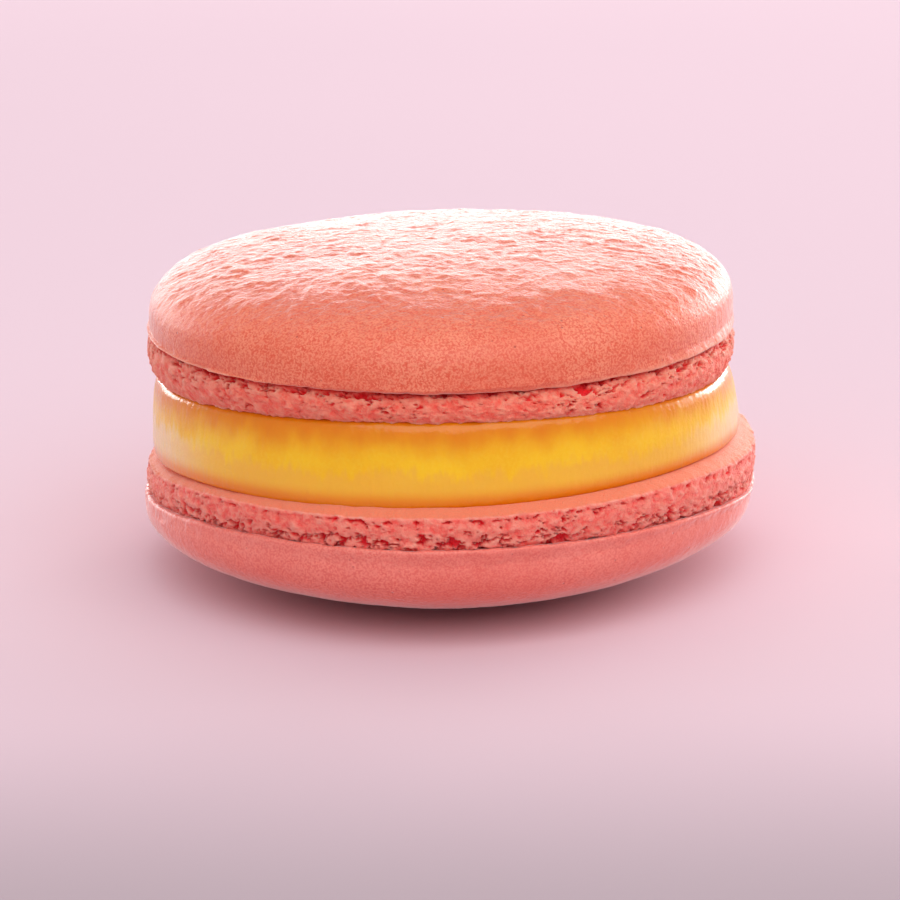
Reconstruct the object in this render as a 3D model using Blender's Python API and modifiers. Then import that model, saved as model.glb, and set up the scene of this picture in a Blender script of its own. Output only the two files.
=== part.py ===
"""French macaron: two domed almond shells with ruffled feet, around a thick curd filling.

Three solids, each in its own node: shell_bottom (dome down, resting on a small flat spot),
filling (a low disc with a rounded side) and shell_top (dome up). Units are metres, +Z up,
-Y is the front, and the origin lies under the middle of the whole, on the resting face.
"""

import math

import bpy
from mathutils import Vector, noise

MM = 0.001

# ---- overall ------------------------------------------------------------------
STEPS = 80  # divisions round the axis
GAP = 0.30  # clearance between neighbouring solids, mm
REST_RADIUS = 4.6  # small flat spot that the macaron rests on, mm
COLLECTION = "french_macaron"

# ---- levels: uneven closed outlines of the real, hand-piped shape, in mm ---------
# x: centre offset, z: height, r: mean radius, lean: rise along +X in degrees,
# front / back: extra height at the front and the back, left / right: the same at the two sides, where the
# outline droops over a short stretch, waves: radius by cos 2t, sin 2t, cos 3t, sin 3t
TOP_DOME = dict(x=-0.57, z=18.80, r=21.50, lean=0.81, front=-0.45, back=0.00, left=0.00, right=0.00, waves=(-0.18, 0.03, 0.05, 0.09))
TOP_RIM = dict(x=-0.71, z=18.41, r=21.40, lean=-0.20, front=-0.37, back=0.05, left=0.00, right=0.00, waves=(-0.08, -0.07, 0.11, -0.19))
TOP_FOOT = dict(x=-0.33, z=14.76, r=20.86, lean=0.36, front=1.23, back=0.25, left=0.00, right=0.00, waves=(-0.20, -0.01, -0.19, 0.02))
BOTTOM_FOOT = dict(x=0.10, z=9.62, r=22.38, lean=1.15, front=0.27, back=-0.05, left=-1.15, right=-0.90, waves=(-0.10, -0.08, 0.02, 0.30))
BOTTOM_RIM = dict(x=0.00, z=6.75, r=22.60, lean=0.20, front=0.85, back=0.15, left=-1.00, right=-0.80, waves=(0.02, -0.07, -0.04, 0.36))
BOTTOM_DOME = dict(x=-0.16, z=6.09, r=22.42, lean=0.64, front=0.23, back=0.05, left=-0.85, right=-0.60, waves=(0.04, -0.01, -0.03, 0.21))

# ---- faces between shells and filling -------------------------------------------
SEAT_TOP = 15.20  # underside of the top shell at its middle, mm
SEAT_TOP_FLAT = 13.0  # radius inside which that underside is flat
SEAT_BOTTOM = 10.22  # upper face of the bottom shell, mm
SEAT_BOTTOM_LEAN_X = 1.40  # degrees
SEAT_BOTTOM_LEAN_Y = 0.40
SEAT_BOTTOM_LEFT, SEAT_BOTTOM_RIGHT = -0.85, -0.65  # droop at the two sides, mm

# ---- domes: |r/R|^P + |z/H|^Q = 1 -----------------------------------------------
TOP_HEIGHT, TOP_P, TOP_Q = 5.35, 2.20, 3.40
BOTTOM_HEIGHT, BOTTOM_P, BOTTOM_Q = 6.18, 1.95, 2.55
DOME_ROWS = 13

# ---- unevenness -------------------------------------------------------------------
FOOT_LUMP_SIZE, FOOT_LUMP = 2.3, 0.30
DOME_SWELL_SIZE, DOME_SWELL = 13.0, 0.30
FILLING_SWELL_SIZE, FILLING_SWELL = 9.0, 0.16


def smooth(t):
    t = min(1.0, max(0.0, t))
    return t * t * (3.0 - 2.0 * t)


def mix(a, b, t):
    return a + (b - a) * t


def front_back(level, angle):
    """Height added by a level at an angle: `front` at -Y, `back` at +Y, nothing at the two sides."""
    s = math.sin(angle)
    second = 0.5 * (1.0 - math.cos(2.0 * angle))
    front = 0.5 * second - 0.5 * s
    back = 0.5 * second + 0.5 * s
    return level["front"] * front + level["back"] * back


def wave(level, angle):
    a, b, c, d = level["waves"]
    return (
        a * math.cos(2 * angle) + b * math.sin(2 * angle) + c * math.cos(3 * angle) + d * math.sin(3 * angle)
    )


def droop(left, right, angle):
    """Height added over a short stretch at -X and at +X."""
    return (left if math.cos(angle) < 0 else right) * math.cos(angle) ** 8


def lift(level, angle, radius):
    """How far a level stands above its own mean height, at a radius."""
    leaning = radius * math.cos(angle) * math.tan(math.radians(level["lean"]))
    return leaning + front_back(level, angle) + droop(level["left"], level["right"], angle)


def top_seat(x, y):
    """Underside of the top shell: flat in the middle, following the foot's uneven edge outside."""
    radius, angle = math.hypot(x, y), math.atan2(y, x)
    edge = smooth((radius - SEAT_TOP_FLAT) / (TOP_FOOT["r"] - SEAT_TOP_FLAT))
    height = mix(SEAT_TOP, TOP_FOOT["z"] + front_back(TOP_FOOT, angle), edge)
    return height + x * math.tan(math.radians(TOP_FOOT["lean"]))


def bottom_seat(x, y):
    """Upper face of the bottom shell: a plane that leans a little, drooping at its two sides."""
    sides = droop(SEAT_BOTTOM_LEFT, SEAT_BOTTOM_RIGHT, math.atan2(y, x)) * smooth((math.hypot(x, y) - 14.0) / 7.5)
    return (
        SEAT_BOTTOM
        + x * math.tan(math.radians(SEAT_BOTTOM_LEAN_X))
        + y * math.tan(math.radians(SEAT_BOTTOM_LEAN_Y))
        + sides
    )


def along(points, count, crowd=1.0):
    """`count` points along a polyline, evenly spaced, or closer together near its end if crowd is over 1."""
    lengths = [0.0]
    for (r0, z0), (r1, z1) in zip(points, points[1:]):
        lengths.append(lengths[-1] + math.hypot(r1 - r0, z1 - z0))
    found, k = [], 0
    for i in range(count):
        at = lengths[-1] * (1.0 - (1.0 - i / (count - 1)) ** crowd)
        while k < len(lengths) - 2 and lengths[k + 1] < at:
            k += 1
        t = (at - lengths[k]) / max(1e-9, lengths[k + 1] - lengths[k])
        found.append((mix(points[k][0], points[k + 1][0], t), mix(points[k][1], points[k + 1][1], t)))
    return found


def dome(radius, height, p, q, rows, start=0.0):
    """Half of a superellipse, from its pole (or from a radius `start`) down to its widest ring."""
    fine = []
    for i in range(401):
        a = math.pi / 2 * (1 - i / 400)
        r = radius * max(0.0, math.cos(a)) ** (2 / p)
        z = height * max(0.0, math.sin(a)) ** (2 / q)
        if r >= start:
            fine.append((r, z))
    return along(fine, rows, crowd=1.75)


def material(name, colour, roughness, metallic=0.0):
    m = bpy.data.materials.new(name)
    m.use_nodes = True
    shader = m.node_tree.nodes["Principled BSDF"]
    shader.inputs["Base Color"].default_value = (*colour, 1.0)
    shader.inputs["Roughness"].default_value = roughness
    shader.inputs["Metallic"].default_value = metallic
    m.diffuse_color = (*colour, 1.0)
    return m


def turned(name, profile, collection):
    """Turn a profile, listed from the top of the axis down its outer side, about Z into a closed mesh."""
    outline = bpy.data.meshes.new(name + "_profile")
    outline.from_pydata(
        [(r * MM, 0.0, z * MM) for r, z in profile], [(i, i + 1) for i in range(len(profile) - 1)], []
    )
    turning = bpy.data.objects.new(name + "_turning", outline)
    collection.objects.link(turning)
    screw = turning.modifiers.new("Turn", "SCREW")
    screw.axis = "Z"
    screw.angle = 2 * math.pi
    screw.steps = STEPS
    screw.render_steps = STEPS
    screw.use_merge_vertices = True
    screw.merge_threshold = 0.00002
    bpy.context.view_layer.update()
    done = bpy.data.meshes.new_from_object(turning.evaluated_get(bpy.context.evaluated_depsgraph_get()))
    done.name = name
    bpy.data.objects.remove(turning)
    bpy.data.meshes.remove(outline)
    piece = bpy.data.objects.new(name, done)
    collection.objects.link(piece)
    return piece


def shaped(piece, move):
    """Move every point of a turned mesh by a rule in millimetres: move(radius, angle, z) -> (x, y, z)."""
    for v in piece.data.vertices:
        x, y, z = v.co.x / MM, v.co.y / MM, v.co.z / MM
        v.co = Vector(move(math.hypot(x, y), math.atan2(y, x), z)) * MM
    piece.data.update()


def lump(x, y, z, size, seed):
    return noise.noise(Vector((x / size + seed, y / size + 0.7 * seed, z / size - 1.3 * seed)))


def blend_levels(levels, z):
    """The two levels that a nominal height lies between, and how far between them."""
    for low, high in zip(levels, levels[1:]):
        if z <= high["z"]:
            return low, high, min(1.0, max(0.0, (z - low["z"]) / (high["z"] - low["z"])))
    return levels[-1], levels[-1], 1.0


def top_rule(radius, angle, z):
    low, high, t = blend_levels((TOP_FOOT, TOP_RIM, TOP_DOME), z)
    reach = smooth(radius / 21.0)
    x0 = mix(low["x"], high["x"], t)
    r = radius + mix(wave(low, angle), wave(high, angle), t) * reach
    x, y = x0 + r * math.cos(angle), r * math.sin(angle)
    outside = smooth((radius - 19.6) / 1.2)
    if z > TOP_RIM["z"] - 0.05:
        lifted = mix(lift(low, angle, radius), lift(high, angle, radius), t)
        above = (z - TOP_DOME["z"]) / TOP_HEIGHT
        if above > 0:
            lean = radius * math.cos(angle) * math.tan(math.radians(TOP_DOME["lean"]))
            lifted = mix(lifted, lean, smooth(above * 1.2))
        swell = lump(x, y, z, DOME_SWELL_SIZE, 3.1) * DOME_SWELL
        side = smooth((TOP_DOME["z"] + 2.5 - z) / 2.0)
        k = 1.0 + swell * 0.6 * side / 21.0
        return x * k, y * k, z + lifted + swell * (1.0 - 0.6 * side)
    if outside <= 0.0 or z < TOP_FOOT["z"] + 0.1 and radius < TOP_FOOT["r"] + 0.05:
        edge = lump(x, y, 0.0, FOOT_LUMP_SIZE, 8.0) * 0.12 * outside
        return x, y, top_seat(x, y) + edge
    n = lump(x, y, z, FOOT_LUMP_SIZE, 5.0) * FOOT_LUMP + lump(x, y, z, FOOT_LUMP_SIZE * 0.45, 9.0) * 0.14
    k = 1.0 + n / radius
    lifted = mix(lift(TOP_FOOT, angle, radius), lift(TOP_RIM, angle, radius), t)
    return x * k, y * k, z + lifted


def bottom_rule(radius, angle, z):
    low, high, t = blend_levels((BOTTOM_DOME, BOTTOM_RIM, BOTTOM_FOOT), z)
    reach = smooth(radius / 21.0)
    x0 = mix(low["x"], high["x"], t)
    r = radius + mix(wave(low, angle), wave(high, angle), t) * reach
    x, y = x0 + r * math.cos(angle), r * math.sin(angle)
    if z < BOTTOM_DOME["z"] + 0.01:
        below = smooth((BOTTOM_DOME["z"] - z) / BOTTOM_HEIGHT * 1.25)
        lifted = lift(BOTTOM_DOME, angle, radius) * (1.0 - below)
        swell = lump(x, y, z, DOME_SWELL_SIZE, 12.4) * DOME_SWELL * smooth((z - 0.12) / 1.5)
        k = 1.0 + swell / max(radius, 8.0)
        if z < 0.02:
            return x, y, 0.0
        return x * k, y * k, z + lifted
    if radius < 21.75 and z > BOTTOM_FOOT["z"]:
        return x, y, bottom_seat(x, y)
    n = lump(x, y, z, FOOT_LUMP_SIZE, 15.0) * FOOT_LUMP + lump(x, y, z, FOOT_LUMP_SIZE * 0.45, 19.0) * 0.14
    n *= smooth((z - BOTTOM_DOME["z"] - 0.2) / 0.6)
    k = 1.0 + n / radius
    lifted = mix(lift(low, angle, radius), lift(high, angle, radius), t)
    return x * k, y * k, z + lifted


def filling_rule(radius, angle, z):
    """z is nominal here: 1 at the upper face and 0 at the lower one."""
    reach = smooth(radius / 20.0)
    x0 = mix(BOTTOM_FOOT["x"] - 0.35, TOP_FOOT["x"], z)
    waves = mix(0.17 * math.sin(3 * angle), wave(TOP_FOOT, angle), z)
    swell = lump(20.0 * math.cos(angle), 20.0 * math.sin(angle), 4.0 * z, FILLING_SWELL_SIZE, 23.0) * FILLING_SWELL
    r = radius + (waves + swell * math.sin(math.pi * z)) * reach
    x, y = x0 + r * math.cos(angle), r * math.sin(angle)
    return x, y, mix(bottom_seat(x, y) + GAP, top_seat(x, y) - GAP, z)


def build():
    for o in list(bpy.data.objects):
        bpy.data.objects.remove(o)
    parts = bpy.data.collections.new(COLLECTION)
    bpy.context.scene.collection.children.link(parts)

    # top shell: dome, thin lip, groove, ruffled foot, flat underside
    top = [(r, TOP_DOME["z"] + z) for r, z in dome(TOP_DOME["r"], TOP_HEIGHT, TOP_P, TOP_Q, DOME_ROWS)]
    top += [
        (TOP_RIM["r"], 18.46),
        (TOP_RIM["r"] - 0.42, 18.26),
        (TOP_RIM["r"] - 0.48, 18.02),
        (21.22, 17.62),
        (21.40, 16.95),
        (21.38, 16.20),
        (21.18, 15.45),
        (TOP_FOOT["r"], TOP_FOOT["z"] + 0.02),
        (20.1, TOP_FOOT["z"]),
        (17.2, TOP_FOOT["z"]),
        (SEAT_TOP_FLAT, TOP_FOOT["z"]),
        (0.0, TOP_FOOT["z"]),
    ]
    shell_top = turned("shell_top", top, parts)
    shaped(shell_top, top_rule)

    # filling: rounded shoulders, a side that bulges a little past both shells' seats
    side = [(0.0, 1.0), (11.0, 1.0), (17.0, 1.0), (20.1, 1.0), (20.75, 0.93), (21.18, 0.80), (21.42, 0.62)]
    side += [(21.55, 0.42), (21.56, 0.22), (21.44, 0.07), (21.2, 0.0), (18.2, 0.0), (14.0, 0.0), (0.0, 0.0)]
    filling = turned("filling", [(r, z) for r, z in side], parts)
    shaped(filling, filling_rule)

    # bottom shell: flat upper face, rounded ledge, ruffled foot, crease, dome, resting spot
    bottom = [
        (0.0, SEAT_BOTTOM),
        (14.0, SEAT_BOTTOM),
        (18.2, SEAT_BOTTOM),
        (21.35, SEAT_BOTTOM),
        (21.90, SEAT_BOTTOM - 0.26),
        (BOTTOM_FOOT["r"], BOTTOM_FOOT["z"]),
        (22.55, 9.05),
        (22.60, 8.45),
        (22.45, 7.80),
        (22.14, 7.30),
        (22.22, 7.00),
        (BOTTOM_RIM["r"], BOTTOM_RIM["z"]),
    ]
    under = dome(BOTTOM_DOME["r"], BOTTOM_HEIGHT, BOTTOM_P, BOTTOM_Q, DOME_ROWS, start=REST_RADIUS)
    floor = BOTTOM_DOME["z"] - under[0][1]
    for r, z in reversed(under):
        bottom.append((r, BOTTOM_DOME["z"] - z - floor * smooth(z / BOTTOM_HEIGHT)))
    bottom[-1] = (REST_RADIUS, 0.0)
    bottom.append((0.0, 0.0))
    shell_bottom = turned("shell_bottom", bottom, parts)
    shaped(shell_bottom, bottom_rule)

    # the origin goes under the middle of the whole, on the resting face
    pieces = (shell_bottom, filling, shell_top)
    for k in range(2):
        low = min(v.co[k] for o in pieces for v in o.data.vertices)
        high = max(v.co[k] for o in pieces for v in o.data.vertices)
        for o in pieces:
            for v in o.data.vertices:
                v.co[k] -= (low + high) / 2

    looks = {
        "shell_top": ("almond_shell", (0.80, 0.24, 0.19), 0.62),
        "shell_bottom": ("almond_shell_lower", (0.76, 0.21, 0.18), 0.62),
        "filling": ("curd", (0.86, 0.45, 0.05), 0.25),
    }
    holder = bpy.data.objects.new("macaron", None)
    holder.empty_display_size = 0.01
    parts.objects.link(holder)
    for o in pieces:
        o.parent = holder
        o.data.materials.clear()
        o.data.materials.append(material(*looks[o.name]))
        o.data.shade_smooth()
        o.data.set_sharp_from_angle(angle=math.radians(50))


build()
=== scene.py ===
"""Looks of the french macaron: fine meshes for its skins, feet and curd, their materials, light and camera."""

import math

import bpy
import numpy as np
from mathutils import Matrix, Vector, noise


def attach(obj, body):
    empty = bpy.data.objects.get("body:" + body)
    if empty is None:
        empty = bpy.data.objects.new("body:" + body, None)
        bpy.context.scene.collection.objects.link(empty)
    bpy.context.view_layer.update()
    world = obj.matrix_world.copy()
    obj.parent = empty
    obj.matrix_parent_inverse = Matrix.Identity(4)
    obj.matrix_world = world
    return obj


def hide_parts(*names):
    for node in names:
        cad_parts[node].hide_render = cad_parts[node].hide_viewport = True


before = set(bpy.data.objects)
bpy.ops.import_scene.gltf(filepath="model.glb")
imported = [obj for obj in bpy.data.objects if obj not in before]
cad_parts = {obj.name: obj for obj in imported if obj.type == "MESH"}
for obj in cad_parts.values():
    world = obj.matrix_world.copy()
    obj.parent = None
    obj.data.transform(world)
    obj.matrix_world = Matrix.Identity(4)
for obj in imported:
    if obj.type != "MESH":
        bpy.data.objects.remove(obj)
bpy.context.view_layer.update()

MM = 0.001
SHIFT = np.array([0.1123, 0.3590, 0.0])  # where the CAD model's recentring puts the shells' own axes, mm
CENTRE = Vector((0.1123, 0.3590, 11.10)) * MM

# ------------------------------------------------------------------ the CAD model's named sizes, mm
TOP_DOME = dict(x=-0.57, z=18.80, r=21.50, lean=0.81, front=-0.45, back=0.00, left=0.00, right=0.00, waves=(-0.18, 0.03, 0.05, 0.09))
TOP_RIM = dict(x=-0.71, z=18.41, r=21.40, lean=-0.20, front=-0.37, back=0.05, left=0.00, right=0.00, waves=(-0.08, -0.07, 0.11, -0.19))
TOP_FOOT = dict(x=-0.33, z=14.76, r=20.86, lean=0.36, front=1.23, back=0.25, left=0.00, right=0.00, waves=(-0.20, -0.01, -0.19, 0.02))
BOTTOM_FOOT = dict(x=0.10, z=9.62, r=22.38, lean=1.15, front=0.27, back=-0.05, left=-1.15, right=-0.90, waves=(-0.10, -0.08, 0.02, 0.30))
BOTTOM_RIM = dict(x=0.00, z=6.75, r=22.60, lean=0.20, front=0.85, back=0.15, left=-1.00, right=-0.80, waves=(0.02, -0.07, -0.04, 0.36))
BOTTOM_DOME = dict(x=-0.16, z=6.09, r=22.42, lean=0.64, front=0.23, back=0.05, left=-0.85, right=-0.60, waves=(0.04, -0.01, -0.03, 0.21))
SEAT_TOP, SEAT_TOP_FLAT = 15.20, 13.0
SEAT_BOTTOM, SEAT_BOTTOM_LEAN_X, SEAT_BOTTOM_LEAN_Y = 10.22, 1.40, 0.40
SEAT_BOTTOM_LEFT, SEAT_BOTTOM_RIGHT = -0.85, -0.65
TOP_HEIGHT, TOP_P, TOP_Q = 5.35, 2.20, 3.40
BOTTOM_HEIGHT, BOTTOM_P, BOTTOM_Q = 6.18, 1.95, 2.55
REST_RADIUS = 4.6
DOME_SWELL_SIZE, DOME_SWELL = 13.0, 0.30
FILLING_SWELL_SIZE, FILLING_SWELL = 9.0, 0.16

# ------------------------------------------------------------------ resolution
DOME_HALF = 145  # rings of a dome's grid; it has (2 * DOME_HALF) ** 2 squares
ROUND = 1180  # steps round a foot or the curd


# ================================================================== small tools
def smooth(t):
    t = np.clip(t, 0.0, 1.0)
    return t * t * (3.0 - 2.0 * t)


def mix(a, b, t):
    return a + (b - a) * t


def front_back(level, angle):
    s = np.sin(angle)
    second = 0.5 * (1.0 - np.cos(2.0 * angle))
    return level["front"] * (0.5 * second - 0.5 * s) + level["back"] * (0.5 * second + 0.5 * s)


def wave(level, angle):
    a, b, c, d = level["waves"]
    return a * np.cos(2 * angle) + b * np.sin(2 * angle) + c * np.cos(3 * angle) + d * np.sin(3 * angle)


def droop(left, right, angle):
    return np.where(np.cos(angle) < 0, left, right) * np.cos(angle) ** 8


def lift(level, angle, radius):
    leaning = radius * np.cos(angle) * math.tan(math.radians(level["lean"]))
    return leaning + front_back(level, angle) + droop(level["left"], level["right"], angle)


def top_seat(x, y):
    radius, angle = np.hypot(x, y), np.arctan2(y, x)
    edge = smooth((radius - SEAT_TOP_FLAT) / (TOP_FOOT["r"] - SEAT_TOP_FLAT))
    height = mix(SEAT_TOP, TOP_FOOT["z"] + front_back(TOP_FOOT, angle), edge)
    return height + x * math.tan(math.radians(TOP_FOOT["lean"]))


def bottom_seat(x, y):
    sides = droop(SEAT_BOTTOM_LEFT, SEAT_BOTTOM_RIGHT, np.arctan2(y, x)) * smooth((np.hypot(x, y) - 14.0) / 7.5)
    return (
        SEAT_BOTTOM
        + x * math.tan(math.radians(SEAT_BOTTOM_LEAN_X))
        + y * math.tan(math.radians(SEAT_BOTTOM_LEAN_Y))
        + sides
    )


def swell(x, y, z, size, seed):
    """The CAD model's slow swelling, the same at the same point."""
    z = np.broadcast_to(z, x.shape)
    return np.array(
        [
            noise.noise(Vector((a / size + seed, b / size + 0.7 * seed, c / size - 1.3 * seed)))
            for a, b, c in zip(x.tolist(), y.tolist(), z.tolist())
        ]
    )


# ------------------------------------------------------------------ noise over arrays of points
def hashed(i, j, k, seed):
    with np.errstate(over="ignore"):
        h = (
            i.astype(np.uint32) * np.uint32(374761393)
            + j.astype(np.uint32) * np.uint32(668265263)
            + k.astype(np.uint32) * np.uint32(3266489917)
            + np.uint32((seed * 974634777 + 12345) % 4294967296)
        )
        h = (h ^ (h >> np.uint32(15))) * np.uint32(2246822519)
        h = (h ^ (h >> np.uint32(13))) * np.uint32(3266489917)
        return h ^ (h >> np.uint32(16))


SLOPES = np.array(
    [(a, b, 0) for a in (-1, 1) for b in (-1, 1)]
    + [(a, 0, b) for a in (-1, 1) for b in (-1, 1)]
    + [(0, a, b) for a in (-1, 1) for b in (-1, 1)],
    float,
)


def perlin(p, seed=0):
    """Gradient noise, about -1 to 1, at points (n, 3)."""
    i = np.floor(p).astype(np.int64)
    f = p - i
    w = f * f * f * (f * (f * 6 - 15) + 10)
    out = np.zeros(len(p))
    for a in (0, 1):
        for b in (0, 1):
            for c in (0, 1):
                g = SLOPES[hashed(i[:, 0] + a, i[:, 1] + b, i[:, 2] + c, seed) % 12]
                d = ((f - (a, b, c)) * g).sum(1)
                k = (w[:, 0] if a else 1 - w[:, 0]) * (w[:, 1] if b else 1 - w[:, 1])
                out += d * k * (w[:, 2] if c else 1 - w[:, 2])
    return out * 1.4


def layered(p, octaves, seed=0, gain=0.5):
    out, size, amount = np.zeros(len(p)), 1.0, 1.0
    for k in range(octaves):
        out += amount * perlin(p * size, seed + 31 * k)
        size, amount = size * 2.03, amount * gain
    return out


def near_points(p, seed):
    """For each of the 27 cells round every point: distance to its scattered point, and two random numbers."""
    i = np.floor(p).astype(np.int64)
    for a in (-1, 0, 1):
        for b in (-1, 0, 1):
            for c in (-1, 0, 1):
                x, y, z = i[:, 0] + a, i[:, 1] + b, i[:, 2] + c
                h, g = hashed(x, y, z, seed), hashed(x, y, z, seed + 77)
                q = np.stack(
                    [
                        x + (h & np.uint32(1023)) / 1023.0,
                        y + ((h >> np.uint32(10)) & np.uint32(1023)) / 1023.0,
                        z + ((h >> np.uint32(20)) & np.uint32(1023)) / 1023.0,
                    ],
                    1,
                )
                yield (
                    np.sqrt(((p - q) ** 2).sum(1)),
                    (g & np.uint32(65535)) / 65535.0,
                    (g >> np.uint32(16)) / 65535.0,
                )


def cells(p, seed=0):
    """Distances to the nearest and second nearest scattered points, in cells."""
    one = np.full(len(p), 9.0)
    two = np.full(len(p), 9.0)
    for d, _, _ in near_points(p, seed):
        two = np.minimum(two, np.maximum(one, d))
        one = np.minimum(one, d)
    return one, two


def pits(p, seed, share, small, large, wall=0.5):
    """Depth, 0 to 1, of scattered hollows with steep walls; share is a number or one for each point."""
    out = np.zeros(len(p))
    for d, pick, size in near_points(p, seed):
        r = small + (large - small) * size**2
        out = np.maximum(out, smooth((r - d) / (r * wall)) * (0.35 + 0.65 * size) * (pick < share))
    return out


def warped(p, size, amount, seed):
    return p + amount * np.stack([perlin(p / size, seed + k) for k in range(3)], 1)


# ------------------------------------------------------------------ profiles
def superellipse(radius, height, p, q, count=700, start=0.0):
    a = np.linspace(math.pi / 2, 0.0, count)
    r = radius * np.clip(np.cos(a), 0, 1) ** (2 / p)
    z = height * np.clip(np.sin(a), 0, 1) ** (2 / q)
    keep = r >= start
    return np.stack([r[keep], z[keep]], 1)


def rounded(points, passes=3):
    """Corner cutting on an open line, ends kept."""
    for _ in range(passes):
        a, b = points[:-1], points[1:]
        cut = np.empty((2 * len(a), 2))
        cut[0::2], cut[1::2] = 0.75 * a + 0.25 * b, 0.25 * a + 0.75 * b
        points = np.concatenate([points[:1], cut, points[-1:]])
    return points


class Line:
    """A profile (r, z) read by its length."""

    def __init__(self, points):
        step = np.hypot(*np.diff(points, axis=0).T)
        keep = np.concatenate([[True], step > 1e-7])
        self.points = points[keep]
        step = np.hypot(*np.diff(self.points, axis=0).T)
        self.at = np.concatenate([[0.0], np.cumsum(step)])
        self.length = self.at[-1]

    def read(self, s):
        return np.interp(s, self.at, self.points[:, 0]), np.interp(s, self.at, self.points[:, 1])


# ------------------------------------------------------------------ meshes
def make(name, co, quads, tris, material, attributes=None):
    me = bpy.data.meshes.new(name)
    me.vertices.add(len(co))
    me.vertices.foreach_set("co", np.ascontiguousarray(co * MM, dtype=np.float32).ravel())
    corners = np.concatenate([quads.ravel(), tris.ravel()]).astype(np.int32)
    me.loops.add(len(corners))
    me.loops.foreach_set("vertex_index", corners)
    counts = np.concatenate([np.full(len(quads), 4), np.full(len(tris), 3)])
    me.polygons.add(len(counts))
    me.polygons.foreach_set("loop_start", (np.cumsum(counts) - counts).astype(np.int32))
    me.update(calc_edges=True)
    me.validate()
    me.shade_smooth()
    me.materials.append(material)
    for key, values in (attributes or {}).items():
        a = me.attributes.new(key, "FLOAT", "POINT")
        a.data.foreach_set("value", np.asarray(values, np.float32))
    o = bpy.data.objects.new(name, me)
    bpy.context.scene.collection.objects.link(o)
    return o


def normals(co, quads, tris):
    """Area-weighted normals of a mesh given as arrays."""
    n = np.zeros_like(co)
    if len(quads):
        f = np.cross(co[quads[:, 2]] - co[quads[:, 0]], co[quads[:, 3]] - co[quads[:, 1]])
        for k in range(4):
            np.add.at(n, quads[:, k], f)
    if len(tris):
        f = np.cross(co[tris[:, 1]] - co[tris[:, 0]], co[tris[:, 2]] - co[tris[:, 0]])
        for k in range(3):
            np.add.at(n, tris[:, k], f)
    return n / np.maximum(np.linalg.norm(n, axis=1, keepdims=True), 1e-12)


def disc_grid(half, down=False):
    """A square grid laid over a disc: (share of the way out, angle, quads, cap triangles)."""
    k = np.arange(-half, half + 1)
    i, j = np.meshgrid(k, k, indexing="ij")
    i, j = i.ravel(), j.ravel()
    ring = np.maximum(abs(i), abs(j))
    wide = abs(i) >= abs(j)
    safe_i, safe_j = np.where(i == 0, 1, i), np.where(j == 0, 1, j)
    angle = np.where(
        wide,
        math.pi / 4 * (j / safe_i) + np.where(i < 0, math.pi, 0.0),
        math.pi / 2 - math.pi / 4 * (i / safe_j) + np.where(j < 0, math.pi, 0.0),
    )
    angle = np.where(ring == 0, 0.0, angle)
    n = 2 * half + 1
    a = np.arange(n * n).reshape(n, n)
    quads = np.stack([a[:-1, :-1], a[1:, :-1], a[1:, 1:], a[:-1, 1:]], -1).reshape(-1, 4)
    edge = np.flatnonzero(ring == half)
    edge = edge[np.argsort(np.mod(angle[edge], 2 * math.pi))]
    after = np.roll(edge, -1)
    tip = np.full(len(edge), n * n)
    tris = np.stack([after, edge, tip], 1)
    if down:
        quads, tris = quads[:, ::-1], tris[:, ::-1]
    return ring / half, angle, quads, tris


def ring_grid(rows, steps):
    """Rows from the top down an outer side, closed round: (row, angle, quads, both caps' triangles)."""
    row, step = np.meshgrid(np.arange(rows), np.arange(steps), indexing="ij")
    a = np.arange(rows * steps).reshape(rows, steps)
    b = np.roll(a, -1, axis=1)
    quads = np.stack([a[:-1], a[1:], b[1:], b[:-1]], -1).reshape(-1, 4)
    top, low = np.full(steps, rows * steps), np.full(steps, rows * steps + 1)
    tris = np.concatenate([np.stack([a[0], b[0], top], 1), np.stack([b[-1], a[-1], low], 1)])
    return row.ravel(), step.ravel() * (2 * math.pi / steps), quads, tris


def soften(field, rows, steps, row_radius, step_radius):
    """Box blur over a ring grid, twice."""
    f = field.reshape(rows, steps)
    for _ in range(2):
        k = np.ones(2 * step_radius + 1) / (2 * step_radius + 1)
        wrap = np.concatenate([f[:, -step_radius:], f, f[:, :step_radius]], 1)
        c = np.cumsum(np.concatenate([np.zeros((rows, 1)), wrap], 1), 1)
        f = (c[:, 2 * step_radius + 1 :] - c[:, : -2 * step_radius - 1]) * k[0]
        pad = np.concatenate([np.repeat(f[:1], row_radius, 0), f, np.repeat(f[-1:], row_radius, 0)], 0)
        c = np.cumsum(np.concatenate([np.zeros((1, steps)), pad], 0), 0)
        f = (c[2 * row_radius + 1 :] - c[: -2 * row_radius - 1]) / (2 * row_radius + 1)
    return f.ravel()


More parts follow.
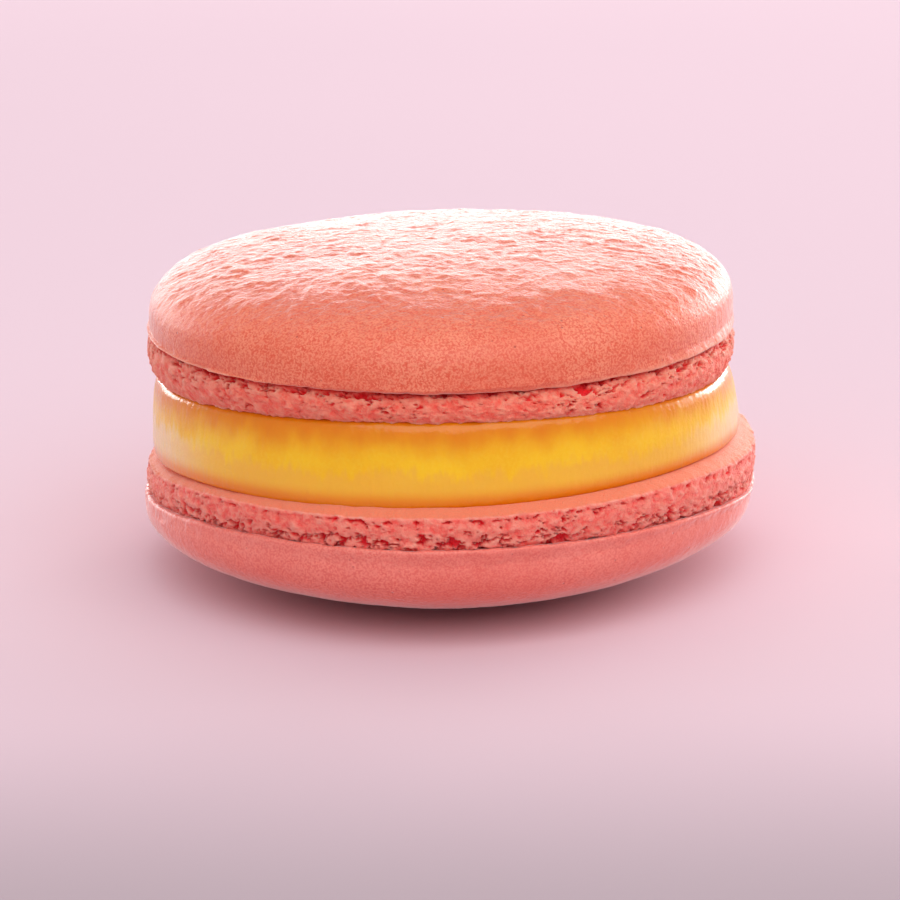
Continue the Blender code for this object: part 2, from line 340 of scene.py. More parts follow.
# ================================================================== placing: nominal (radius, angle, height) -> point
def place_top(radius, angle, z):
    t1 = np.clip((z - TOP_FOOT["z"]) / (TOP_RIM["z"] - TOP_FOOT["z"]), 0, 1)
    t2 = np.clip((z - TOP_RIM["z"]) / (TOP_DOME["z"] - TOP_RIM["z"]), 0, 1)
    reach = smooth(radius / 21.0)
    x0 = mix(mix(TOP_FOOT["x"], TOP_RIM["x"], t1), TOP_DOME["x"], t2)
    w = mix(mix(wave(TOP_FOOT, angle), wave(TOP_RIM, angle), t1), wave(TOP_DOME, angle), t2)
    up = mix(
        mix(lift(TOP_FOOT, angle, radius), lift(TOP_RIM, angle, radius), t1), lift(TOP_DOME, angle, radius), t2
    )
    above = (z - TOP_DOME["z"]) / TOP_HEIGHT
    lean = radius * np.cos(angle) * math.tan(math.radians(TOP_DOME["lean"]))
    up = np.where(above > 0, mix(up, lean, smooth(above * 1.2)), up)
    r = radius + w * reach
    x, y = x0 + r * np.cos(angle), r * np.sin(angle)
    s = swell(x, y, z, DOME_SWELL_SIZE, 3.1) * DOME_SWELL * smooth((z - TOP_RIM["z"] + 0.6) / 0.8)
    side = smooth((TOP_DOME["z"] + 2.5 - z) / 2.0)
    k = 1.0 + s * 0.6 * side / 21.0
    return np.stack([x * k, y * k, z + up + s * (1.0 - 0.6 * side)], 1)


def place_bottom(radius, angle, z):
    t1 = np.clip((z - BOTTOM_DOME["z"]) / (BOTTOM_RIM["z"] - BOTTOM_DOME["z"]), 0, 1)
    t2 = np.clip((z - BOTTOM_RIM["z"]) / (BOTTOM_FOOT["z"] - BOTTOM_RIM["z"]), 0, 1)
    reach = smooth(radius / 21.0)
    x0 = mix(mix(BOTTOM_DOME["x"], BOTTOM_RIM["x"], t1), BOTTOM_FOOT["x"], t2)
    w = mix(mix(wave(BOTTOM_DOME, angle), wave(BOTTOM_RIM, angle), t1), wave(BOTTOM_FOOT, angle), t2)
    up = mix(
        mix(lift(BOTTOM_DOME, angle, radius), lift(BOTTOM_RIM, angle, radius), t1),
        lift(BOTTOM_FOOT, angle, radius),
        t2,
    )
    below = smooth((BOTTOM_DOME["z"] - z) / BOTTOM_HEIGHT * 1.25)
    up = up * (1.0 - below)
    r = radius + w * reach
    x, y = x0 + r * np.cos(angle), r * np.sin(angle)
    s = swell(x, y, z, DOME_SWELL_SIZE, 12.4) * DOME_SWELL * smooth((z - 0.12) / 1.5)
    s = s * (1.0 - smooth((z - 6.8) / 0.8))
    k = 1.0 + s / np.maximum(radius, 8.0)
    return np.stack([x * k, y * k, np.maximum(z + up, 0.0)], 1)


# ================================================================== materials
def nodes_of(material):
    material.use_nodes = True
    nt = material.node_tree
    return nt, nt.nodes["Principled BSDF"]


class Tree:
    """Short ways to add shader nodes."""

    def __init__(self, name):
        self.material = bpy.data.materials.new(name)
        self.nt, self.shader = nodes_of(self.material)

    def node(self, kind, **values):
        n = self.nt.nodes.new(kind)
        for key, value in values.items():
            setattr(n, key, value)
        return n

    def link(self, a, b):
        self.nt.links.new(a, b)

    def position(self):
        """Object coordinates in millimetres."""
        t = self.node("ShaderNodeTexCoord")
        m = self.node("ShaderNodeVectorMath", operation="SCALE")
        self.link(t.outputs["Object"], m.inputs[0])
        m.inputs["Scale"].default_value = 1000.0
        return m.outputs[0]

    def stretched(self, vector, by):
        m = self.node("ShaderNodeVectorMath", operation="MULTIPLY")
        self.link(vector, m.inputs[0])
        m.inputs[1].default_value = by
        return m.outputs[0]

    def noise(self, vector, per_mm, detail=2.0, rough=0.5, distortion=0.0):
        n = self.node("ShaderNodeTexNoise")
        self.link(vector, n.inputs["Vector"])
        n.inputs["Scale"].default_value = per_mm
        n.inputs["Detail"].default_value = detail
        n.inputs["Roughness"].default_value = rough
        n.inputs["Distortion"].default_value = distortion
        return n.outputs["Fac"]

    def voronoi(self, vector, per_mm, feature="F1", output="Distance", randomness=1.0):
        n = self.node("ShaderNodeTexVoronoi", feature=feature)
        self.link(vector, n.inputs["Vector"])
        n.inputs["Scale"].default_value = per_mm
        n.inputs["Randomness"].default_value = randomness
        return n.outputs[output]

    def ramp(self, value, low, high, a=0.0, b=1.0, soft=True):
        """value from low..high to a..b, clamped."""
        n = self.node("ShaderNodeMapRange", interpolation_type="SMOOTHSTEP" if soft else "LINEAR")
        self.link(value, n.inputs["Value"])
        n.inputs["From Min"].default_value, n.inputs["From Max"].default_value = low, high
        n.inputs["To Min"].default_value, n.inputs["To Max"].default_value = a, b
        return n.outputs["Result"]

    def maths(self, operation, a, b):
        n = self.node("ShaderNodeMath", operation=operation)
        for k, v in enumerate((a, b)):
            if isinstance(v, (int, float)):
                n.inputs[k].default_value = v
            else:
                self.link(v, n.inputs[k])
        return n.outputs[0]

    def blend(self, share, a, b, kind="MIX"):
        n = self.node("ShaderNodeMix", data_type="RGBA", blend_type=kind)
        ins = {s.identifier: s for s in n.inputs}
        for key, v in (("Factor_Float", share), ("A_Color", a), ("B_Color", b)):
            if isinstance(v, (int, float)):
                ins[key].default_value = v
            elif isinstance(v, tuple):
                ins[key].default_value = (*v, 1.0)
            else:
                self.link(v, ins[key])
        return next(s for s in n.outputs if s.identifier == "Result_Color")

    def attribute(self, name):
        n = self.node("ShaderNodeAttribute", attribute_name=name)
        return n.outputs["Fac"]

    def bump(self, height, distance, strength=1.0, before=None):
        n = self.node("ShaderNodeBump")
        self.link(height, n.inputs["Height"])
        n.inputs["Distance"].default_value = distance * MM
        n.inputs["Strength"].default_value = strength
        if before is not None:
            self.link(before, n.inputs["Normal"])
        return n.outputs["Normal"]

    def set(self, **values):
        for key, value in values.items():
            self.shader.inputs[key.replace("_", " ")].default_value = value


def skin_material(name, light, dark, pore_shade):
    """Baked almond meringue: matt, with a fine mottled grain, a few tiny dented pores darkened with painted shade, and
    painted highlights set by the lip attribute.
    """
    t = Tree(name)
    p = t.position()
    fine = t.noise(p, 6.5, 2.0, 0.6)
    grain = t.noise(p, 2.1, 2.0, 0.5)
    cloud = t.noise(p, 0.16, 2.0, 0.5)
    colour = t.blend(t.ramp(fine, 0.40, 0.60), dark, light)
    colour = t.blend(t.ramp(grain, 0.30, 0.75, 0.0, 0.35), colour, tuple(c * k for c, k in zip(light, (1.02, 1.12, 1.16))))
    colour = t.blend(t.ramp(cloud, 0.3, 0.7, 0.0, 0.35), colour, tuple(c * k for c, k in zip(dark, (1.0, 0.92, 0.86))))
    # tiny pores: small dents whose darker colour is painted shade
    specks = t.voronoi(p, 1.55)
    picked = t.voronoi(p, 1.55, output="Color")
    chosen = t.ramp(picked, 0.74, 0.78)
    spot = t.maths("MULTIPLY", t.ramp(specks, 0.09, 0.17, 1.0, 0.0), chosen)
    colour = t.blend(t.maths("MULTIPLY", spot, 0.55), colour, pore_shade)
    # painted highlight: paler where the lip attribute is set, along the lips and, on the lower shell, over its upper
    # side
    colour = t.blend(t.attribute("lip"), colour, tuple(min(1.0, c * k) for c, k in zip(light, (1.05, 1.5, 1.7))))
    t.link(colour, t.shader.inputs["Base Color"])
    rough = t.ramp(fine, 0.3, 0.7, 0.37, 0.52)
    t.link(rough, t.shader.inputs["Roughness"])
    height = t.maths("ADD", t.maths("MULTIPLY", fine, 0.6), t.maths("MULTIPLY", grain, 0.8))
    height = t.maths("SUBTRACT", height, t.maths("MULTIPLY", spot, 0.6))
    flake = t.noise(p, 1.9, 3.0, 0.6, 0.6)
    height = t.maths("ADD", height, t.maths("MULTIPLY", t.maths("MULTIPLY", flake, t.attribute("wrinkle")), 2.6))
    t.link(t.bump(height, 0.10, 0.65), t.shader.inputs["Normal"])
    t.set(Subsurface_Weight=0.25, Subsurface_Scale=0.001, Specular_IOR_Level=0.5)
    t.set(Sheen_Weight=0.85, Sheen_Roughness=0.30, Sheen_Tint=(1.0, 0.93, 0.94, 1.0))
    t.shader.inputs["Subsurface Radius"].default_value = (1.0, 0.35, 0.25)
    return t.material


def foot_material(name, light, mid, deep_shade, ledge):
    """The ruffled foot: crumbly and rough, with painted shade making it deep red in its hollows, and painted
    highlights making it pale on its crests.
    """
    t = Tree(name)
    p = t.position()
    hollow_shade = t.attribute("hollow_shade")
    fine = t.noise(p, 7.0, 3.0, 0.6)
    grain = t.noise(p, 1.6, 3.0, 0.55)
    colour = t.blend(t.ramp(grain, 0.35, 0.65), mid, light)
    colour = t.blend(t.ramp(fine, 0.35, 0.7, 0.0, 0.4), colour, tuple(min(1.0, c * k) for c, k in zip(light, (1.0, 1.25, 1.3))))
    # painted highlight: paler on raised crumbs and along the foot's rims
    colour = t.blend(t.attribute("crest"), colour, tuple(min(1.0, c * k) for c, k in zip(light, (1.03, 1.55, 1.65))))
    # painted shade: deep red in the hollows, under the lip and at the crease
    colour = t.blend(hollow_shade, colour, deep_shade)
    colour = t.blend(t.attribute("ledge"), colour, t.blend(t.ramp(fine, 0.35, 0.7), tuple(c * 0.94 for c in ledge), ledge))
    t.link(colour, t.shader.inputs["Base Color"])
    t.link(t.ramp(fine, 0.3, 0.7, 0.55, 0.72), t.shader.inputs["Roughness"])
    height = t.maths("ADD", fine, t.maths("MULTIPLY", grain, 0.8))
    t.link(t.bump(height, 0.16, 0.7), t.shader.inputs["Normal"])
    t.set(Subsurface_Weight=0.40, Subsurface_Scale=0.0011, Specular_IOR_Level=0.3)
    t.set(Sheen_Weight=0.18, Sheen_Roughness=0.45, Sheen_Tint=(1.0, 0.90, 0.90, 1.0))
    t.shader.inputs["Subsurface Radius"].default_value = (1.0, 0.22, 0.16)
    return t.material


def curd_material(name):
    """Smooth wet curd: translucent yellow with a clear glossy surface, faintly rippled; its colour holds painted shade
    at top and bottom and painted reflections low down and at the ends.
    """
    t = Tree(name)
    p = t.position()
    tall = t.stretched(p, (1.0, 1.0, 0.32))
    streak = t.noise(tall, 2.4, 2.0, 0.5)
    fine = t.noise(p, 4.5, 2.0, 0.5)
    cloud = t.noise(p, 0.22, 2.0, 0.5)
    level = t.attribute("level")
    broad = t.noise(t.stretched(p, (1.0, 1.0, 0.6)), 0.55, 2.0, 0.5)
    wavy = t.maths("ADD", level, t.ramp(broad, 0.3, 0.7, -0.06, 0.06, soft=False))
    ragged = t.maths("ADD", wavy, t.ramp(streak, 0.3, 0.7, -0.07, 0.07, soft=False))
    colour = t.blend(t.ramp(cloud, 0.3, 0.7), (1.0, 0.60, 0.012), (0.95, 0.52, 0.007))
    colour = t.blend(t.ramp(fine, 0.4, 0.7, 0.0, 0.3), colour, (1.0, 0.66, 0.04))
    # painted reflection of the pale floor: a paler tan lower band with a ragged edge
    colour = t.blend(t.ramp(ragged, 0.50, 0.34, 0.0, 0.75), colour, (0.93, 0.49, 0.050))
    # painted reflection: pale cream over the lower parts of the left and right ends
    colour = t.blend(t.maths("MULTIPLY", t.ramp(ragged, 0.62, 0.44, 0.0, 0.7), t.attribute("ends")), colour, (0.95, 0.70, 0.40))
    # painted shade: darker orange in the upper band under the top shell
    colour = t.blend(t.ramp(wavy, 0.52, 0.96, 0.0, 1.0), colour, (0.79, 0.23, 0.002))
    # painted shade and reflection of the lower shell: darker orange along the bottom edge
    colour = t.blend(t.ramp(level, 0.26, 0.05, 0.0, 1.0), colour, (0.86, 0.23, 0.002))
    t.link(colour, t.shader.inputs["Base Color"])
    t.link(t.ramp(fine, 0.3, 0.7, 0.30, 0.40), t.shader.inputs["Roughness"])
    height = t.maths("ADD", t.maths("MULTIPLY", streak, 0.9), t.maths("MULTIPLY", fine, 0.45))
    ripples = t.bump(height, 0.06, 0.75)
    t.link(ripples, t.shader.inputs["Normal"])
    t.link(ripples, t.shader.inputs["Coat Normal"])
    t.set(Subsurface_Weight=0.40, Subsurface_Scale=0.002, Specular_IOR_Level=0.12)
    t.set(Coat_Weight=0.65, Coat_Roughness=0.08, Coat_IOR=1.48)
    t.shader.inputs["Subsurface Radius"].default_value = (1.0, 0.55, 0.10)
    return t.material


# ================================================================== pieces
def dome_piece(name, line, place, marks, relief, material, down=False):
    """A dome's skin: marks are (share of rings, length along the line) that set where the rings lie."""
    out, angle, quads, tris = disc_grid(DOME_HALF, down)
    s = np.interp(out, [m[0] for m in marks], [m[1] for m in marks])
    r, z = line.read(s)
    co = place(r, angle, z)
    tip = co[np.isclose(out, 1.0)].mean(0, keepdims=True)
    co = np.concatenate([co, tip])
    s = np.concatenate([s, [line.length]])
    n = normals(co, quads, tris)
    d, attributes = relief(co, s, line)
    co = co + n * d[:, None]
    return make(name, co + SHIFT, quads, tris, material, attributes)


def top_skin(material):
    shell = superellipse(TOP_DOME["r"], TOP_HEIGHT, TOP_P, TOP_Q) + (0.0, TOP_DOME["z"])
    lip = rounded(
        np.array([(21.50, 18.80), (21.50, 18.55), (21.42, 18.37), (21.20, 18.33), (20.98, 18.50), (20.60, 18.66), (19.9, 18.72)])
    )
    line = Line(np.concatenate([shell[:-1], lip]))
    lip_at = line.length - Line(lip).length
    marks = [(0.0, 0.0), (0.72, lip_at - 4.2), (0.88, lip_at - 0.2), (0.975, lip_at + 0.95), (1.0, line.length)]

    def relief(co, s, line):
        p = co
        up = smooth((co[:, 2] - 19.9 - 0.7 * perlin(p / 5.0, 2)) / 2.6)  # the wrinkled upper part
        w = warped(p, 1.2, 0.40, 3)
        ridge = layered(w / 0.95, 3, 11, 0.55)
        crest = 1.0 - 2.0 * abs(perlin(w / 1.15, 17))
        bump, _ = cells(w / 0.80, 25)
        small = perlin(p / 0.40, 5)
        calm = 0.65 + 0.35 * perlin(p / 4.0, 19)
        d = up * calm * (0.058 * ridge + 0.046 * crest + 0.085 * (0.55 - bump) + 0.026 * small)
        d += (1 - up) * (0.014 * ridge + 0.007 * small)
        one, _ = cells(p / 2.9, 21)
        d += 0.08 * up * smooth((0.50 - one) / 0.4)
        edge = smooth((s - lip_at + 0.35) / 0.4) * smooth((lip_at + 1.3 - s) / 0.5)
        d += edge * (0.07 * perlin(p / 1.9, 8) + 0.035 * perlin(p / 0.6, 9))
        # painted highlight: a thin bright line just round the lip's edge
        lip_highlight = np.exp(-(((s - lip_at - 0.38) / 0.13) ** 2)) * (0.55 + 0.45 * perlin(p / 0.7, 13))
        return d, {"lip": np.clip(lip_highlight, 0, 1), "wrinkle": up}

    return dome_piece("shell_top_skin", line, place_top, marks, relief, material)


def bottom_skin(material):
    shell = superellipse(BOTTOM_DOME["r"], BOTTOM_HEIGHT, BOTTOM_P, BOTTOM_Q)
    z0 = shell[np.argmin(abs(shell[:, 0] - REST_RADIUS)), 1]
    z = BOTTOM_DOME["z"] - shell[:, 1]
    floor = BOTTOM_DOME["z"] - z0
    z = np.where(shell[:, 0] <= REST_RADIUS, 0.0, z - floor * smooth(shell[:, 1] / BOTTOM_HEIGHT))
    under = np.stack([shell[:, 0], np.maximum(z, 0.0)], 1)
    lip = rounded(np.array([(22.39, 6.09), (22.44, 6.40), (22.57, 6.62), (22.50, 6.75), (22.28, 6.77), (21.9, 6.70), (21.2, 6.6), (20.6, 6.5)]))
    line = Line(np.concatenate([under[:-1], lip]))
    lip_at = line.length - Line(lip).length
    marks = [(0.0, 0.0), (0.72, lip_at - 4.2), (0.88, lip_at - 0.2), (0.975, lip_at + 1.1), (1.0, line.length)]

    def relief(co, s, line):
        p = co
        d = 0.014 * layered(warped(p, 1.6, 0.5, 33) / 1.0, 3, 41, 0.55) + 0.006 * perlin(p / 0.42, 45)
        d += 0.03 * perlin(p / 4.0, 47)
        d = d * smooth((co[:, 2] - 0.02) / 0.3)
        edge = smooth((s - lip_at + 0.2) / 0.4)
        d += edge * (0.07 * perlin(p / 1.7, 48) + 0.035 * perlin(p / 0.55, 49))
        # painted highlight along the lip, and painted light making the dome paler towards the lip
        lip_highlight = 0.35 * np.exp(-(((s - lip_at - 0.72) / 0.16) ** 2)) * (0.5 + 0.5 * perlin(p / 0.7, 53))
        painted_upper_light = 0.27 * smooth((co[:, 2] - 3.6) / 3.0) * (0.8 + 0.2 * perlin(p / 3.0, 55))
        return d, {"lip": np.clip(np.maximum(lip_highlight, painted_upper_light), 0, 1), "wrinkle": np.zeros(len(p))}

    return dome_piece("shell_bottom_skin", line, place_bottom, marks, relief, material, down=True)


def foot_relief(co, near_dome, near_edge, seed):
    """How far a foot's crumbly face stands out, mm, and how much of that is hollow, which later sets painted shade."""
    q = co * (1.0, 1.0, 1.3)
    w = warped(q, 1.1, 0.34, seed)
    big, _ = cells(w / 1.15, seed + 1)
    mid, mid_next = cells(w / 0.50, seed + 2)
    d = 0.19 * (0.58 - big) + 0.12 * (0.55 - mid) + 0.050 * layered(w / 0.50, 3, seed + 3, 0.75)
    where = perlin(co / (3.4, 3.4, 2.4), seed + 5)
    ragged = layered(warped(co * (1.0, 1.0, 1.7), 0.6, 0.16, seed + 14) / 0.80, 4, seed + 15, 0.66)
    tear = smooth((ragged - (1.02 - 0.80 * near_dome - 0.40 * where + 0.5 * near_edge)) / 0.26)  # jagged openings
    share = np.clip(0.14 + 0.30 * near_dome + 0.26 * where - 0.35 * near_edge, 0.0, 0.7)
    hole = pits(warped(co * (1.0, 1.0, 1.8), 0.6, 0.20, seed + 6) / 0.80, seed + 7, share, 0.15, 0.50, 0.4)
    small = pits(warped(q, 0.5, 0.1, seed + 8) / 0.45, seed + 9, share * 0.9 + 0.05, 0.18, 0.42)
    slit = smooth((0.09 - (mid_next - mid)) / 0.09) * smooth((ragged + 0.9 * near_dome - 0.55) / 0.4)
    cut = 0.42 * tear + 0.34 * hole + 0.16 * small + 0.07 * slit
    return d - cut, np.clip(1.15 * tear + 1.10 * hole + 0.50 * small + 0.22 * slit, 0, 1.3)


def top_foot(material):
    line = Line(
        rounded(
            np.array(
                [
                    (19.6, 18.95), (20.45, 18.92), (20.72, 18.62), (20.84, 18.30), (21.12, 18.00), (21.38, 17.45),
                    (21.48, 16.80), (21.42, 16.10), (21.24, 15.45), (21.02, 14.98), (20.84, 14.74), (20.55, 14.66),
                    (20.1, 14.74), (19.4, 14.82),
                ]
            )
        )
    )
    rows = 82
    row, angle, quads, tris = ring_grid(rows, ROUND)
    s = row / (rows - 1) * line.length
    r, z = line.read(s)
    co = place_top(r, angle, z)
    n0 = np.concatenate([co, [[TOP_FOOT["x"], 0, 18.95], [TOP_FOOT["x"], 0, SEAT_TOP]]])
    n = normals(n0, quads, tris)[: len(co)]
    near_dome = smooth((z - 16.2) / 1.9)
    near_edge = smooth((15.15 - z) / 0.4)
    outer = smooth((s - 0.9) / 0.5) * smooth((line.length - 0.75 - s) / 0.4)
    d, hollow = foot_relief(co, near_dome, near_edge, 100)
    shown = mix(1.0, 0.35, near_edge) * outer
    d = d * shown + near_edge * (0.08 * perlin(co / 0.5, 121) + 0.10 * perlin(co / 1.3, 122) + 0.06 * perlin(co / 0.27, 123)) * outer
    hollow = hollow * outer
    co = co + n * d[:, None]
    # how far each point sinks below its neighbours, which adds painted shade
    deep_shade = np.clip(-(d - soften(d, rows, ROUND, 7, 9)) / 0.16, 0, 1)
    proud_highlight = np.clip((d - soften(d, rows, ROUND, 4, 6) - 0.015) / 0.09, 0, 1)
    # painted shade: a deep red band just under the lip
    under = smooth((z - 17.75 + 0.35 * perlin(co / (2.2, 2.2, 9.0), 125)) / 0.35)
    hollow_shade = np.clip(0.90 * hollow + 0.30 * deep_shade + 0.60 * under, 0, 1)
    # painted highlight on raised crumbs; also paler along the foot's lower edge
    crest = np.clip(0.50 * proud_highlight + 0.85 * near_edge * (0.6 + 0.5 * perlin(co / 0.4, 131)), 0, 1)
    co = np.concatenate([co, n0[-2:]])
    pad = [0.0, 0.0]
    attributes = {
        "hollow_shade": np.concatenate([hollow_shade, pad]),
        "crest": np.concatenate([crest, pad]),
        "ledge": np.zeros(len(co)),
    }
    return make("shell_top_foot", co + SHIFT, quads, tris, material, attributes)


def bottom_foot(material):
    line = Line(
        rounded(
            np.array(
                [
                    (19.8, 10.20), (20.9, 10.18), (21.35, 10.12), (21.75, 9.97), (22.10, 9.79), (22.38, 9.62), (22.45, 9.48),
                    (22.45, 9.05), (22.52, 8.53), (22.47, 8.05), (22.40, 7.62), (22.34, 7.25), (22.27, 6.95), (22.12, 6.68),
                    (21.6, 6.50), (20.6, 6.40), (19.8, 6.38),
                ]
            ),
            2,
        )
    )
    rows = 80
    row, angle, quads, tris = ring_grid(rows, ROUND)
    s = row / (rows - 1) * line.length
    r, z = line.read(s)
    co = place_bottom(r, angle, z)
    seat = smooth((21.6 - r) / 0.8) * (z > 9.0)
    co[:, 2] = mix(co[:, 2], bottom_seat(co[:, 0], co[:, 1]) + 0.03, seat)
    n0 = np.concatenate([co, [[0.0, 0, SEAT_BOTTOM], [0.0, 0, 6.9]]])
    n = normals(n0, quads, tris)[: len(co)]
    top = smooth((z - 9.54) / 0.12)  # the smooth ledge round the curd
    near_dome = np.maximum(smooth((8.4 - z) / 0.9), 0.85 * np.exp(-(((z - 9.22) / 0.14) ** 2)))
    near_edge = smooth((z - 9.30) / 0.2)
    outer = smooth((line.length - 1.6 - s) / 0.4)
    d, hollow = foot_relief(co, near_dome, near_edge * 0.30, 200)
    d = d * (1 - top) * outer * mix(1.0, 0.6, near_edge)
    hollow = hollow * outer * (1 - top)
    smooth_part = top * smooth((s - 1.2) / 0.5)
    d += smooth_part * (0.035 * perlin(co / 1.5, 221) + 0.015 * perlin(co / 0.5, 222))
    d += np.exp(-(((z - 9.58) / 0.13) ** 2)) * (0.10 * perlin(co / 0.75, 223) + 0.08 * perlin(co / 0.33, 224))
    co = co + n * d[:, None]
    deep_shade = np.clip(-(d - soften(d, rows, ROUND, 7, 9)) / 0.16, 0, 1)
    proud_highlight = np.clip((d - soften(d, rows, ROUND, 4, 6) - 0.015) / 0.09, 0, 1)
    # painted shade in the hollows and at the crease next to the dome
    hollow_shade = np.clip(0.90 * hollow + 0.30 * deep_shade * (1 - top) + 0.25 * smooth((7.3 - z) / 0.35), 0, 1)
    # painted highlight on raised crumbs and along the foot's crisp upper rim
    crest = np.clip(0.50 * proud_highlight + 0.9 * np.exp(-(((z - 9.57) / 0.10) ** 2)) * (0.6 + 0.5 * perlin(co / 0.4, 231)), 0, 1)
    co = np.concatenate([co, n0[-2:]])
    pad = [0.0, 0.0]
    attributes = {
        "hollow_shade": np.concatenate([hollow_shade, pad]),
        "crest": np.concatenate([crest, pad]),
        "ledge": np.concatenate([top, pad]),
    }
    return make("shell_bottom_foot", co + SHIFT, quads, tris, material, attributes)


def curd(material):
    """The filling: rounded shoulders, a bulging side, and a skin of fine upright ripples."""
    side = rounded(
        np.array(
            [
                (19.4, 1.0), (20.55, 1.0), (20.95, 0.975), (21.18, 0.91), (21.33, 0.79), (21.47, 0.56), (21.58, 0.27),
                (21.56, 0.06), (21.42, 0.0), (20.4, 0.0),
            ]
        )
    )
    rows = 66
    height = 5.0
    line = Line(side * (1.0, height))
    row, angle, quads, tris = ring_grid(rows, ROUND)
    s = row / (rows - 1) * line.length
    radius, z = line.read(s)
    z = z / height
    reach = smooth(radius / 20.0)
    x0 = mix(BOTTOM_FOOT["x"] - 0.35, TOP_FOOT["x"], z)
    waves = mix(0.17 * np.sin(3 * angle), wave(TOP_FOOT, angle), z)
    s1 = swell(20.0 * np.cos(angle), 20.0 * np.sin(angle), 4.0 * z, FILLING_SWELL_SIZE, 23.0) * FILLING_SWELL
    r = radius + (waves + s1 * np.sin(math.pi * z)) * reach
    x, y = x0 + r * np.cos(angle), r * np.sin(angle)
    co = np.stack([x, y, mix(bottom_seat(x, y) - 0.02, top_seat(x, y) + 0.10, z)], 1)
    n0 = np.concatenate([co, [[x0[0], 0, SEAT_TOP], [x0[-1], 0, SEAT_BOTTOM]]])
    n = normals(n0, quads, tris)[: len(co)]
    q = warped(co * (1.0, 1.0, 0.38), 1.2, 0.25, 301)
    ripple = perlin(q / 0.42, 302) + 0.6 * perlin(q / 0.23, 303)
    slow = perlin(co / (2.4, 2.4, 1.6), 304)
    d = 0.011 * ripple + 0.035 * slow
    d = d * smooth((s - 0.9) / 0.5) * smooth((line.length - 0.9 - s) / 0.5)
    co = co + n * d[:, None]
    co = np.concatenate([co, n0[-2:]])
    # where the painted end reflection goes: the left and right ends
    ends = smooth((abs(np.cos(angle)) - 0.72) / 0.26)
    attributes = {"level": np.concatenate([z, [1.0, 0.0]]), "ends": np.concatenate([ends, [0.0, 0.0]])}
    return make("curd", co + SHIFT, quads, tris, material, attributes)


skin_top = skin_material("almond_skin", (0.91, 0.29, 0.165), (0.77, 0.105, 0.048), (0.42, 0.02, 0.012))
skin_low = skin_material("almond_skin_lower", (0.90, 0.24, 0.175), (0.77, 0.105, 0.075), (0.42, 0.02, 0.014))
feet_top = foot_material("almond_foot", (1.0, 0.27, 0.175), (0.96, 0.105, 0.065), (0.97, 0.016, 0.022), (0.92, 0.25, 0.13))
feet_low = foot_material("almond_foot_lower", (1.0, 0.26, 0.185), (0.95, 0.100, 0.075), (0.96, 0.016, 0.030), (0.93, 0.25, 0.135))
curd_look = curd_material("curd_gloss")

for make_piece, look, node, slot in (
    (top_skin, skin_top, "shell_top", "shell_upper"),
    (top_foot, feet_top, "shell_top", "shell_upper"),
    (curd, curd_look, "filling", "filling"),
    (bottom_foot, feet_low, "shell_bottom", "shell_lower"),
    (bottom_skin, skin_low, "shell_bottom", "shell_lower"),
):
    piece = make_piece(look)
    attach(piece, "root")
    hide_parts(node)


# ================================================================== stage, light and camera
def stage_material():
    t = Tree("pale_floor")
    cloud = t.noise(t.position(), 0.004, 1.0, 0.5)
    pale = t.blend(t.ramp(cloud, 0.3, 0.7), (0.72, 0.56, 0.625), (0.74, 0.575, 0.64))
    apart = t.node("ShaderNodeSeparateXYZ")
    t.link(t.position(), apart.inputs[0])
    # painted shade: the floor darkens towards the camera
    floor_falloff_shade = t.ramp(apart.outputs["Y"], -30.0, -68.0, 0.0, 1.0)
    t.link(t.blend(floor_falloff_shade, pale, (0.45, 0.37, 0.405)), t.shader.inputs["Base Color"])
    t.set(Roughness=1.0, Specular_IOR_Level=0.0)
    return t.material


floor_mesh = bpy.data.meshes.new("floor")
floor_mesh.from_pydata([(-3, -2, 0), (3, -2, 0), (3, 6, 0), (-3, 6, 0)], [], [(0, 1, 2, 3)])
floor_mesh.materials.append(stage_material())
floor = bpy.data.objects.new("floor", floor_mesh)
bpy.context.scene.collection.objects.link(floor)


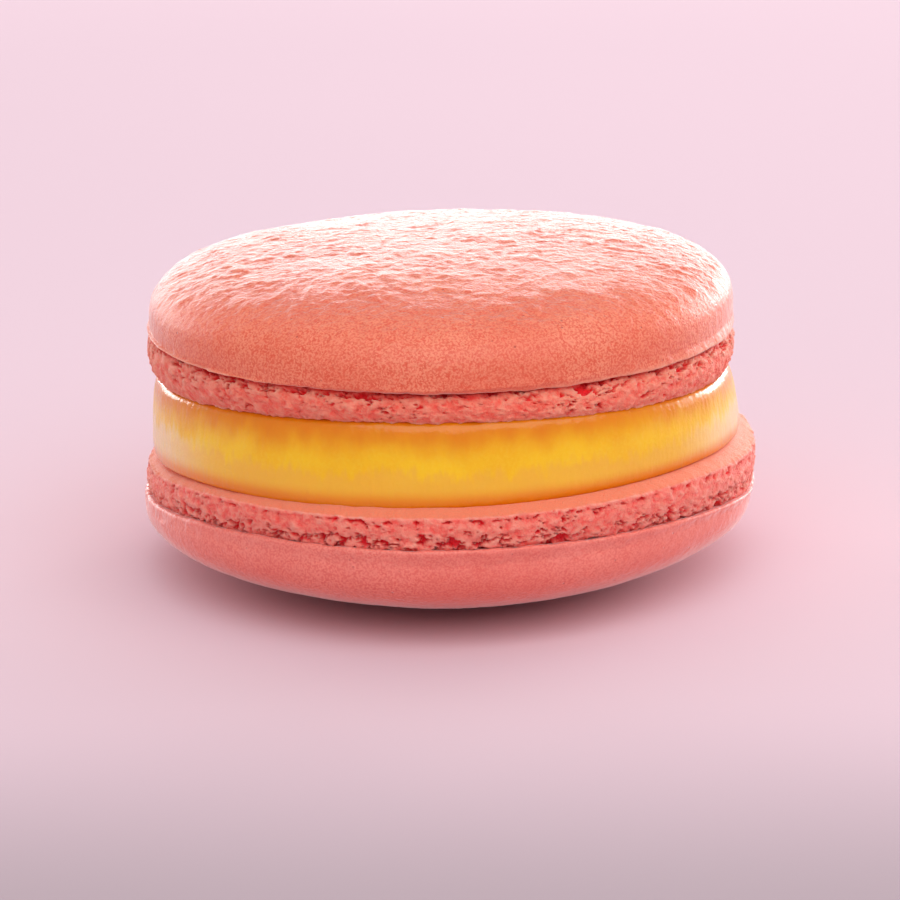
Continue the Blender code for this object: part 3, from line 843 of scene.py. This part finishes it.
def area(name, at, aim, size, power, colour=(1.0, 1.0, 1.0)):
    light = bpy.data.lights.new(name, "AREA")
    light.shape = "RECTANGLE"
    light.size, light.size_y = size
    light.energy = power
    light.color = colour
    o = bpy.data.objects.new(name, light)
    o.location = Vector(at)
    o.rotation_euler = (Vector(aim) - Vector(at)).to_track_quat("-Z", "Y").to_euler()
    o.visible_camera = False
    bpy.context.scene.collection.objects.link(o)
    return o


area("softbox_back", (0.22, 1.25, 0.19), (0, 0.0, 0.02), (1.80, 0.30), 21.0, (1.0, 0.98, 0.98))
area("softbox_back_left", (-0.85, 0.95, 0.26), (0, 0.0, 0.02), (0.50, 0.36), 2.6, (1.0, 0.98, 0.98))
area("softbox_back_right", (0.85, 0.95, 0.26), (0, 0.0, 0.02), (0.50, 0.36), 4.0, (1.0, 0.98, 0.98))
area("softbox_top", (0.03, 0.16, 0.55), (0.0, 0.02, 0.0), (0.40, 0.30), 0.25)
area("softbox_front", (0.19, -0.70, 0.86), (0, 0.0, 0.01), (1.9, 1.1), 10.9)
area("rim_right", (0.62, 0.30, 0.16), (0, 0.0, 0.015), (0.30, 0.30), 0.55)
area("rim_left", (-0.50, 0.58, 0.12), (0, 0.0, 0.015), (0.30, 0.20), 0.4)

world = bpy.data.worlds.new("studio")
world.use_nodes = True
world.node_tree.nodes["Background"].inputs["Color"].default_value = (1.0, 0.90, 0.94, 1.0)
world.node_tree.nodes["Background"].inputs["Strength"].default_value = 0.50
bpy.context.scene.world = world

DISTANCE, ELEVATION, ROLL, AIM_DROP = 0.2213, 15.0, 0.8, math.atan(38 / 3000)
camera_data = bpy.data.cameras.new("camera")
camera_data.lens = 120.0
camera_data.sensor_width = 36.0
camera_data.clip_start, camera_data.clip_end = 0.01, 50.0
camera = bpy.data.objects.new("camera", camera_data)
e = math.radians(ELEVATION)
camera.location = CENTRE + Vector((0.0, -math.cos(e), math.sin(e))) * DISTANCE
camera.rotation_mode = "XYZ"
aim = math.radians(90 - ELEVATION) - AIM_DROP
camera.rotation_euler = (Matrix.Rotation(aim, 3, "X") @ Matrix.Rotation(math.radians(-ROLL), 3, "Z")).to_euler()
bpy.context.scene.collection.objects.link(camera)
bpy.context.scene.camera = camera

view = bpy.context.scene.view_settings
view.view_transform = "Standard"
view.look = "None"
view.exposure = 0.0
view.gamma = 1.0
